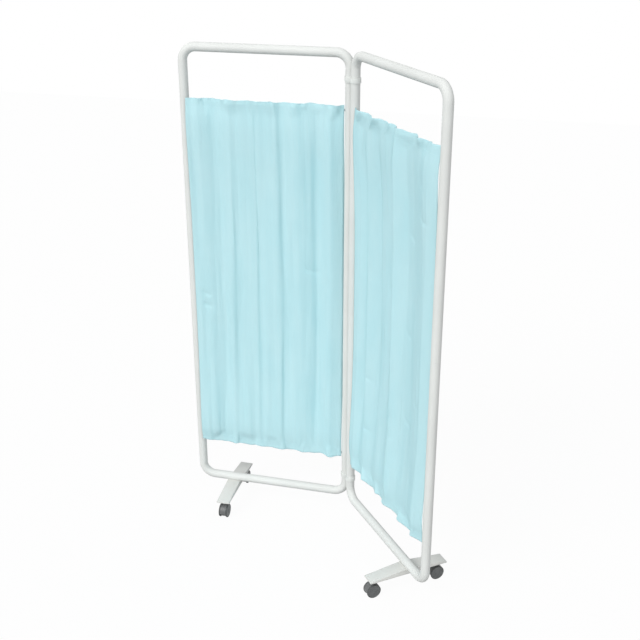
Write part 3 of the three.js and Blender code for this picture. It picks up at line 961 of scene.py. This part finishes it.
for panel in PANELS:
    letter = panel.letter
    curtain = Curtain(panel)
    cloth = curtain.build(f"cloth_{letter}")
    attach(cloth, panel.body)
    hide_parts(f"curtain_{letter}")
    sewn = []
    for end, rod in zip(("bottom", "top"), ROD_HEIGHTS):
        sewn.append(curtain.casing(f"casing_{letter}_{end}", rod))
    lines = {
        "top_hem": curtain.high - HEM_DEPTH,
        "top_header": curtain.high - HEADER_DEPTH,
        "bottom_hem": curtain.low + HEM_DEPTH,
        "bottom_header": curtain.low + HEADER_DEPTH,
    }
    for line, up in lines.items():
        for side, face in ((1, "front"), (-1, "back")):
            seam = curtain.stitch_path(f"stitches_{letter}_{line}_{face}", up, side)
            STITCHES.apply(seam, {
                "Pitch": STITCH_PITCH,
                "Stitch Length": STITCH_LENGTH,
                "Thread Radius": THREAD_RADIUS,
                "Material": THREAD,
            })
            sewn.append(seam)
    for piece in sewn:
        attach(piece, panel.body)
    flat = (curtain.length(), curtain.high - curtain.low)


# Hinge links: a double ring round the two hinge uprights, with softened edges

LINK_BORE = 0.0154
LINK_WALL = 0.0024
LINK_SOFT_EDGE = 0.0006
LINK_RING_STEPS = 40
LINK_BORE_STEPS = 48
COLLAR_BORE = 0.01515
COLLAR_RADIUS = 0.0165
COLLAR_SOFT_EDGE = 0.0004
COLLAR_STEPS = 48


def joint_place(name):
    joint = next(j for j in frame["joints"] if j["name"] == name)
    return Vector(joint["pos_m"])


def double_ring(reach, ring, bore, height, soft):
    """The link lying flat, its first ring about the origin and its second one along X."""
    waist = math.acos(reach / 2 / ring)
    curve = bpy.data.curves.new("link outline", "CURVE")
    curve.dimensions = "2D"
    curve.fill_mode = "BOTH"
    curve.extrude = height / 2 - soft
    curve.bevel_depth = soft
    curve.bevel_resolution = 3
    curve.offset = -soft
    outline = []
    for centre, start in ((0.0, waist), (reach, math.pi + waist)):
        end = start + 2 * math.pi - 2 * waist
        for i in range(LINK_RING_STEPS + 1):
            angle = mix(start, end, i / LINK_RING_STEPS)
            outline.append((centre + ring * math.cos(angle), ring * math.sin(angle)))
    loops = [outline[:-1]]
    for centre in (0.0, reach):
        angles = [-2 * math.pi * i / LINK_BORE_STEPS for i in range(LINK_BORE_STEPS)]
        loops.append([(centre + bore * math.cos(a), bore * math.sin(a)) for a in angles])
    for loop in loops:
        spline = curve.splines.new("POLY")
        spline.points.add(len(loop) - 1)
        for point, (x, y) in zip(spline.points, loop):
            point.co = (x, y, 0, 1)
        spline.use_cyclic_u = True
    holder = bpy.data.objects.new("link outline", curve)
    bpy.context.scene.collection.objects.link(holder)
    graph = bpy.context.evaluated_depsgraph_get()
    mesh = bpy.data.meshes.new_from_object(holder.evaluated_get(graph))
    bpy.data.objects.remove(holder)
    return mesh


hinge_a = joint_place("link_fold")
hinge_b = joint_place("panel_fold")
link_way = hinge_b - hinge_a
for place in ("bottom", "top"):
    low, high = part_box(f"hinge_link_{place}")
    mesh = double_ring(
        link_way.length, LINK_BORE + LINK_WALL, LINK_BORE, high.z - low.z, LINK_SOFT_EDGE)
    turn = Matrix.Rotation(math.atan2(link_way.y, link_way.x), 4, "Z")
    middle = Vector((hinge_a.x, hinge_a.y, (low.z + high.z) / 2))
    mesh.transform(Matrix.Translation(middle) @ turn)
    shape = bmesh.new()
    shape.from_mesh(mesh)
    bpy.data.meshes.remove(mesh)
    bmesh.ops.remove_doubles(shape, verts=shape.verts, dist=1e-6)
    bmesh.ops.recalc_face_normals(shape, faces=shape.faces)
    link = finish_mesh(f"link_{place}", shape, LINK_PLASTIC)
    sharpen(link, degrees=35)
    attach(link, "hinge_links")
    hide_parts(f"hinge_link_{place}")

    low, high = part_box(f"hinge_collar_{place}")
    section = rounded([
        (COLLAR_BORE, low.z), (COLLAR_RADIUS, low.z), (COLLAR_RADIUS, high.z),
        (COLLAR_BORE, high.z)], COLLAR_SOFT_EDGE, steps=3)
    vertices, faces = turned_mesh(section, COLLAR_STEPS, closed=True)
    upright = [(hinge_a.x + y, hinge_a.y + z, x) for x, y, z in vertices]
    collar = piece_from(f"collar_{place}", upright, faces, LINK_PLASTIC)
    sharpen(collar, degrees=40)
    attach(collar, "panel_a")
    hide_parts(f"hinge_collar_{place}")


# Feet: the pressed channels again, with their pressed edges rounded

PRESSED_EDGE = 0.0009
FLAT_WITHIN = 1.5
PRESSED_ANGLE = 35

for panel in PANELS:
    node = f"foot_{panel.letter}"
    shape = bmesh.new()
    shape.from_mesh(frame["nodes"][node].data)
    bmesh.ops.remove_doubles(shape, verts=shape.verts, dist=2e-6)
    bmesh.ops.dissolve_limit(
        shape, angle_limit=math.radians(FLAT_WITHIN), verts=shape.verts, edges=shape.edges)
    foot = finish_mesh(f"pressed_foot_{panel.letter}", shape, FOOT_PAINT)
    soft = foot.modifiers.new("pressed edges", "BEVEL")
    soft.width = PRESSED_EDGE
    soft.segments = 3
    soft.limit_method = "ANGLE"
    soft.angle_limit = math.radians(PRESSED_ANGLE)
    soft.harden_normals = False
    bake_modifiers(foot)
    sharpen(foot, degrees=PRESSED_ANGLE)
    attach(foot, panel.body)
    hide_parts(node)


# Casters, made once about the swivel axis under the foot: X across, Y forward, Z up

HOOD_RADIUS = 0.0246
HOOD_INNER = 0.0222
HOOD_HALF_WIDTH = 0.0105
WEB_HALF_WIDTH = 0.0012
SKIRT_DROP = 0.003
HOOD_STEPS = 44
NECK_RADIUS = 0.009
NECK_TOP = -0.0076
NECK_OVER_AXLE = 0.004
NECK_SOFT_EDGE = 0.0012
AXLE_DROP = 0.0395
TRAIL = 0.006
NECK_BORE_DEPTH = 0.008
STEM_BORE = 0.0043
AXLE_BORE = 0.0033
HUB_RADIUS = 0.008
WHEEL_ROOM = 0.0002
THROUGH = 0.020
CUT_OVERRUN = 0.010
WHEEL_STEPS = 64

# Half sections of a wheel and its tyre: radius, and place out from the caster's middle. The wheel
# is a drum over the axle with a rim, a dished disc and a hub ring on its outer side. A corner of
# the tyre may carry its own rounding third.
WHEEL_SECTION = [
    (0.0, 0.0133), (0.0033, 0.0133), (0.0033, 0.0016), (0.0213, 0.0016), (0.0215, 0.0018),
    (0.0215, 0.0109), (0.0219, 0.0109), (0.0223, 0.0112), (0.0223, 0.0150), (0.0221, 0.0155),
    (0.0216, 0.0158), (0.0208, 0.0158), (0.0202, 0.0155), (0.0196, 0.0152), (0.0150, 0.0153),
    (0.0098, 0.0155), (0.0084, 0.0154), (0.0078, 0.0150), (0.0073, 0.0150), (0.0068, 0.0155),
    (0.0056, 0.0158), (0.0030, 0.0159), (0.0, 0.0159)]
TYRE_CORNERS = [
    (0.0226, 0.0109), (0.0245, 0.0109, 0.0005), (0.0245, 0.0154, 0.0009), (0.0226, 0.0154, 0.0003)]
TYRE_ROUNDING = 0.0002


def cut(piece, tool, operation):
    """Cuts the tool out of the piece, or joins it on, and takes the tool away."""
    modifier = piece.modifiers.new(operation, "BOOLEAN")
    modifier.operation = operation
    modifier.solver = "EXACT"
    modifier.object = tool
    bake_modifiers(piece)
    bpy.data.objects.remove(tool)
    return piece


def upright_bar(name, radius, low, high, soft=0.0, sides=40):
    """A vertical bar about the swivel axis, with its top edge rounded where it is soft."""
    top_edge = [(radius, high)]
    if soft:
        top_edge = [
            (radius, high - soft), (radius - 0.3 * soft, high - 0.3 * soft), (radius - soft, high)]
    profile = [(0.0, low), (radius, low), *top_edge, (0.0, high)]
    vertices, faces = turned_mesh(profile, sides, closed=False)
    return piece_from(name, [(y, z, x) for x, y, z in vertices], faces, HOOD)


def hood_shell():
    """The cover over both wheels with the web between them: a T section swept over the axle."""
    section = rounded([
        (0.0, -WEB_HALF_WIDTH, 0.0), (HOOD_INNER, -WEB_HALF_WIDTH, 0.0008),
        (HOOD_INNER, -HOOD_HALF_WIDTH, 0.0004), (HOOD_RADIUS, -HOOD_HALF_WIDTH, 0.0009),
        (HOOD_RADIUS, HOOD_HALF_WIDTH, 0.0009), (HOOD_INNER, HOOD_HALF_WIDTH, 0.0004),
        (HOOD_INNER, WEB_HALF_WIDTH, 0.0008), (0.0, WEB_HALF_WIDTH, 0.0)], 0.0, steps=3)
    drop = math.asin(SKIRT_DROP / HOOD_RADIUS)
    vertices = []
    for i in range(HOOD_STEPS + 1):
        angle = -drop + (math.pi + 2 * drop) * i / HOOD_STEPS
        for radius, across in section:
            back = radius * math.cos(angle) - TRAIL
            vertices.append((across, back, radius * math.sin(angle) - AXLE_DROP))
    count = len(section)
    faces = []
    for i in range(HOOD_STEPS):
        for k in range(count):
            a = i * count + k
            b = i * count + (k + 1) % count
            faces.append((a, b, b + count, a + count))
    faces.append(tuple(range(count)))
    faces.append(tuple(reversed(range(HOOD_STEPS * count, (HOOD_STEPS + 1) * count))))
    return piece_from("hood", vertices, faces, HOOD)


def axle_bar(name, radius, half_length, sides=64):
    """A bar about the axle, across the caster."""
    profile = [(0.0, -half_length), (radius, -half_length), (radius, half_length), (0.0, half_length)]
    vertices, faces = turned_mesh(profile, sides, closed=False)
    placed = [(x, y - TRAIL, z - AXLE_DROP) for x, y, z in vertices]
    return piece_from(name, placed, faces, HOOD)


def make_hood():
    """The hood with its neck, hub, and bores for the stem and the axle."""
    hood = hood_shell()
    neck = upright_bar(
        "neck", NECK_RADIUS, -AXLE_DROP + NECK_OVER_AXLE, NECK_TOP, NECK_SOFT_EDGE)
    cut(neck, axle_bar("room", HOOD_INNER + WHEEL_ROOM, THROUGH), "DIFFERENCE")
    cut(hood, neck, "UNION")
    cut(hood, axle_bar("hub", HUB_RADIUS, WEB_HALF_WIDTH), "UNION")
    bore = upright_bar("bore", STEM_BORE, NECK_TOP - NECK_BORE_DEPTH, NECK_TOP + CUT_OVERRUN)
    cut(hood, bore, "DIFFERENCE")
    cut(hood, axle_bar("axle hole", AXLE_BORE, THROUGH, sides=32), "DIFFERENCE")
    return sharpen(hood, degrees=30)


def wheel_parts(side):
    """A wheel and the tyre round it, on the left (-1) or the right (1) of the caster."""
    tyre = rounded(TYRE_CORNERS, TYRE_ROUNDING)
    made = {}
    for name, section, closed in (("wheel", WHEEL_SECTION, False), ("tyre", tyre, True)):
        vertices, faces = turned_mesh(section, WHEEL_STEPS, closed)
        made[name] = ([(side * x, y - TRAIL, z - AXLE_DROP) for x, y, z in vertices], faces)
    return made


def caster_matrix(label):
    """From a caster's own directions to its place under the foot."""
    stem = joint_place(f"swivel_{label}")
    axle = joint_place(f"spin_{label}_left")
    forward = Vector((stem.x - axle.x, stem.y - axle.y, 0)).normalized()
    across = Vector((forward.y, -forward.x, 0))
    turn = Matrix((across, forward, UP)).transposed().to_4x4()
    return Matrix.Translation(stem) @ turn


hood_pattern = make_hood()
wheel_patterns = {"left": wheel_parts(-1), "right": wheel_parts(1)}
for label in ("a_front", "a_back", "b_front", "b_back"):
    matrix = caster_matrix(label)
    mesh = hood_pattern.data.copy()
    mesh.name = f"hood_{label}"
    mesh.transform(matrix)
    hood = bpy.data.objects.new(f"hood_{label}", mesh)
    bpy.context.scene.collection.objects.link(hood)
    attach(hood, f"swivel_{label}")
    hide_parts(f"caster_{label}_hood")
    for side, parts in wheel_patterns.items():
        for kind, (vertices, faces) in parts.items():
            placed = [matrix @ Vector(v) for v in vertices]
            finish = WHEEL if kind == "wheel" else TYRE
            piece = piece_from(f"{kind}_{label}_{side}", placed, faces, finish)
            sharpen(piece, degrees=40)
            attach(piece, f"wheel_{label}_{side}")
            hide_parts(f"caster_{label}_{side}_{kind}")
bpy.data.objects.remove(hood_pattern)


# Metal nodes that stay as they are: rods, sleeves, bolts, nuts, stems and axles

for name, node in frame["nodes"].items():
    if node.hide_render:
        continue
    node.data.materials.clear()
    node.data.materials.append(ZINC)


# Floor, lights and camera

def share_of_seen(surface):
    """1 for rays that show the surface itself: straight, mirrored or through glass."""
    path = surface.tree.nodes.new("ShaderNodeLightPath")
    seen = Signal(surface, path.outputs["Is Camera Ray"])
    mirrored = Signal(surface, path.outputs["Is Glossy Ray"])
    through = Signal(surface, path.outputs["Is Transmission Ray"])
    return (seen + mirrored + through).held()


FLOOR_SIDE = 14.0
FLOOR_TONE = rgb(0.45, 0.45, 0.45)
FLOOR_GLOW = 1.03
FLOOR_GLOW_SHARE = 0.93
WHITE = rgb(1, 1, 1)
SKY_TONE = rgb(0.955, 0.98, 1.0)
SKY_STRENGTH = 0.53

floor_paint = Surface(
    "studio_floor", base_color=FLOOR_TONE, roughness=0.9, specular_ior_level=0.1)
glow = floor_paint.node("ShaderNodeEmission", None, {"Color": WHITE, "Strength": FLOOR_GLOW})
seen = share_of_seen(floor_paint) * FLOOR_GLOW_SHARE
mixed = floor_paint.node(
    "ShaderNodeMixShader", None,
    {0: seen, 1: Signal(floor_paint, floor_paint.shader.outputs[0]), 2: glow})
floor_output = floor_paint.tree.nodes["Material Output"]
floor_paint.tree.links.new(mixed.socket, floor_output.inputs["Surface"])
half = FLOOR_SIDE / 2
floor = piece_from(
    "floor", [(-half, -half, 0), (half, -half, 0), (half, half, 0), (-half, half, 0)],
    [(0, 1, 2, 3)], floor_paint.material, smooth=False)

world = bpy.data.worlds.new("studio")
bpy.context.scene.world = world
world.use_nodes = True


class Sky(Surface):
    """The studio's surroundings, made with the same node calls as a surface."""

    def __init__(self, tree):
        self.tree = tree


sky = Sky(world.node_tree)
sky.tree.nodes.clear()
backdrop = sky.node("ShaderNodeBackground", None, {"Color": WHITE, "Strength": 1.0})
around = sky.node("ShaderNodeBackground", None, {"Color": SKY_TONE, "Strength": SKY_STRENGTH})
sky_mix = sky.node("ShaderNodeMixShader", None, {0: share_of_seen(sky), 1: around, 2: backdrop})
sky_output = sky.tree.nodes.new("ShaderNodeOutputWorld")
sky.tree.links.new(sky_mix.socket, sky_output.inputs["Surface"])

# Lamps: where the light comes from, its energy, and its spread in degrees
LAMPS = {
    "key": {"from": (-0.53, -0.85, 0.80), "energy": 1.92, "angle": 30},
    "fill": {"from": (0.50, -0.87, 0.55), "energy": 0.62, "angle": 60},
}
for name, lamp in LAMPS.items():
    light = bpy.data.lights.new(name, "SUN")
    light.energy = lamp["energy"]
    light.angle = math.radians(lamp["angle"])
    holder = bpy.data.objects.new(name, light)
    bpy.context.scene.collection.objects.link(holder)
    holder.rotation_euler = Vector(lamp["from"]).to_track_quat("Z", "Y").to_euler()

# The camera, as fitted to the photograph: lens and sensor in millimetres, turns in degrees
SENSOR_WIDTH = 36.0
LENS = 57.632
CAMERA_PLACE = (0.77525, -2.95721, 2.18444)
CAMERA_TURNS = (66.329, 0.029, 14.312)

camera_data = bpy.data.cameras.new("camera")
camera_data.sensor_width = SENSOR_WIDTH
camera_data.lens = LENS
camera_data.clip_end = 60.0
camera = bpy.data.objects.new("camera", camera_data)
bpy.context.scene.collection.objects.link(camera)
camera.location = CAMERA_PLACE
camera.rotation_euler = [math.radians(angle) for angle in CAMERA_TURNS]
bpy.context.scene.camera = camera
bpy.context.scene.view_settings.view_transform = "Standard"
